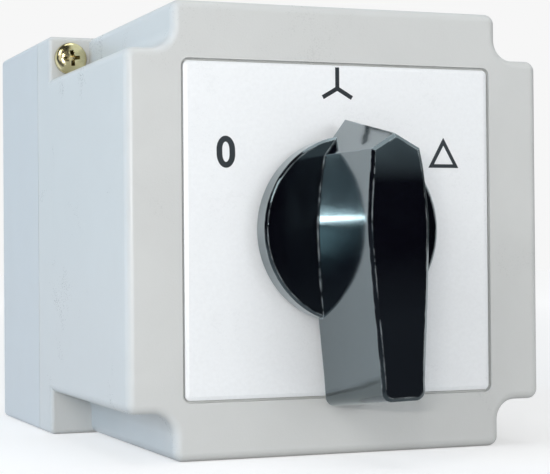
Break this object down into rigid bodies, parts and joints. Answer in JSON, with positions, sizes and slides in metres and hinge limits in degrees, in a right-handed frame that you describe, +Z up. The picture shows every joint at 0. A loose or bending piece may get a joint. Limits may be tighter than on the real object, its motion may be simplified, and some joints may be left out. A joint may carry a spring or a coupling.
{
  "type": "star-delta cam switch",
  "caption": "Enclosed rotary cam switch for star-delta motor starting: surface box, legend plate, black lever handle turning between off, star and delta, contact stages inside.",
  "frame": {"origin": "centre of the back face that sits on the wall", "axes": "+Y out of the back, into the wall, so the front faces -Y; +Z up; +X to the right seen from the front"},
  "size_m": [0.087, 0.1342, 0.087],
  "materials": {
    "cover_shell": "satin light grey thermoplastic, fine moulded grain",
    "base_shell": "satin light grey thermoplastic, fine moulded grain",
    "legend_white": "smooth white laminate with printed dark grey marks",
    "handle_black": "glossy black polyamide",
    "block_moulding": "matt black glass-filled moulding",
    "cam_moulding": "natural white polyamide",
    "seal_rubber": "matt black elastomer",
    "yellow_passivated_screw": "zinc-plated, yellow passivated",
    "plated_steel": "bright zinc-plated steel",
    "spring_steel": "drawn spring steel",
    "contact_brass": "plain rolled brass, silvered at the contact tips"
  },
  "bodies": {
    "housing": {"base_box": "base_shell", "cover": "cover_shell", "cover_gasket": "seal_rubber", "cover_screws": "yellow_passivated_screw", "legend_plate": "legend_white", "shaft_seal": "seal_rubber", "rear_plate": "plated_steel", "mounting_screws": "plated_steel", "index_housing": "block_moulding", "front_flange": "block_moulding", "tie_bolts": "plated_steel", "link_bars": "contact_brass", "terminal_clamps": "plated_steel", "terminal_screws": "plated_steel", "earth_terminal": "contact_brass", "earth_screw": "yellow_passivated_screw", "upper_index_spring": "spring_steel", "lower_index_spring": "spring_steel", "contact_block_1": "block_moulding", "fixed_contacts_1": "contact_brass", "upper_spring_1": "spring_steel", "lower_spring_1": "spring_steel", "contact_block_2": "block_moulding", "fixed_contacts_2": "contact_brass", "upper_spring_2": "spring_steel", "lower_spring_2": "spring_steel", "contact_block_3": "block_moulding", "fixed_contacts_3": "contact_brass", "upper_spring_3": "spring_steel", "lower_spring_3": "spring_steel", "contact_block_4": "block_moulding", "fixed_contacts_4": "contact_brass", "upper_spring_4": "spring_steel", "lower_spring_4": "spring_steel"},
    "rotor": {"handle": "handle_black", "handle_clip": "spring_steel", "shaft": "plated_steel", "cam_1": "cam_moulding", "cam_2": "cam_moulding", "cam_3": "cam_moulding", "cam_4": "cam_moulding", "index_wheel": "cam_moulding", "stop_disc": "plated_steel"},
    "upper_contact_1": {"upper_plunger_1": "cam_moulding", "upper_bridge_1": "contact_brass"},
    "upper_contact_2": {"upper_plunger_2": "cam_moulding", "upper_bridge_2": "contact_brass"},
    "upper_contact_3": {"upper_plunger_3": "cam_moulding", "upper_bridge_3": "contact_brass"},
    "upper_contact_4": {"upper_plunger_4": "cam_moulding", "upper_bridge_4": "contact_brass"},
    "lower_contact_1": {"lower_plunger_1": "cam_moulding", "lower_bridge_1": "contact_brass"},
    "lower_contact_2": {"lower_plunger_2": "cam_moulding", "lower_bridge_2": "contact_brass"},
    "lower_contact_3": {"lower_plunger_3": "cam_moulding", "lower_bridge_3": "contact_brass"},
    "lower_contact_4": {"lower_plunger_4": "cam_moulding", "lower_bridge_4": "contact_brass"}
  },
  "joints": [
    {"name": "handle_turn", "type": "hinge", "parent": "housing", "child": "rotor", "pos_m": [0, -0.06, 0], "axis": [0, 1, 0], "range_deg": [-60, 60], "deforming": ["upper_index_spring", "lower_index_spring"]},
    {"name": "upper_contact_1_slide", "type": "slide", "parent": "housing", "child": "upper_contact_1", "axis": [0, 0, 1], "range_m": [-0.003, 0.003], "deforming": ["upper_spring_1"]},
    {"name": "upper_contact_2_slide", "type": "slide", "parent": "housing", "child": "upper_contact_2", "axis": [0, 0, 1], "range_m": [-0.003, 0.003], "deforming": ["upper_spring_2"]},
    {"name": "upper_contact_3_slide", "type": "slide", "parent": "housing", "child": "upper_contact_3", "axis": [0, 0, 1], "range_m": [-0.003, 0.003], "deforming": ["upper_spring_3"]},
    {"name": "upper_contact_4_slide", "type": "slide", "parent": "housing", "child": "upper_contact_4", "axis": [0, 0, 1], "range_m": [-0.003, 0.003], "deforming": ["upper_spring_4"]},
    {"name": "lower_contact_1_slide", "type": "slide", "parent": "housing", "child": "lower_contact_1", "axis": [0, 0, 1], "range_m": [-0.003, 0.003], "deforming": ["lower_spring_1"]},
    {"name": "lower_contact_2_slide", "type": "slide", "parent": "housing", "child": "lower_contact_2", "axis": [0, 0, 1], "range_m": [-0.003, 0.003], "deforming": ["lower_spring_2"]},
    {"name": "lower_contact_3_slide", "type": "slide", "parent": "housing", "child": "lower_contact_3", "axis": [0, 0, 1], "range_m": [-0.003, 0.003], "deforming": ["lower_spring_3"]},
    {"name": "lower_contact_4_slide", "type": "slide", "parent": "housing", "child": "lower_contact_4", "axis": [0, 0, 1], "range_m": [-0.003, 0.003], "deforming": ["lower_spring_4"]}
  ],
  "couplings": [
    {"joint": "upper_contact_1_slide", "follows": "handle_turn", "m_per_rad": -0.002864},
    {"joint": "upper_contact_2_slide", "follows": "handle_turn", "m_per_rad": -0.002864},
    {"joint": "upper_contact_3_slide", "follows": "handle_turn", "m_per_rad": -0.002864},
    {"joint": "upper_contact_4_slide", "follows": "handle_turn", "m_per_rad": -0.002864},
    {"joint": "lower_contact_1_slide", "follows": "handle_turn", "m_per_rad": 0.002864},
    {"joint": "lower_contact_2_slide", "follows": "handle_turn", "m_per_rad": 0.002864},
    {"joint": "lower_contact_3_slide", "follows": "handle_turn", "m_per_rad": 0.002864},
    {"joint": "lower_contact_4_slide", "follows": "handle_turn", "m_per_rad": 0.002864}
  ]
}
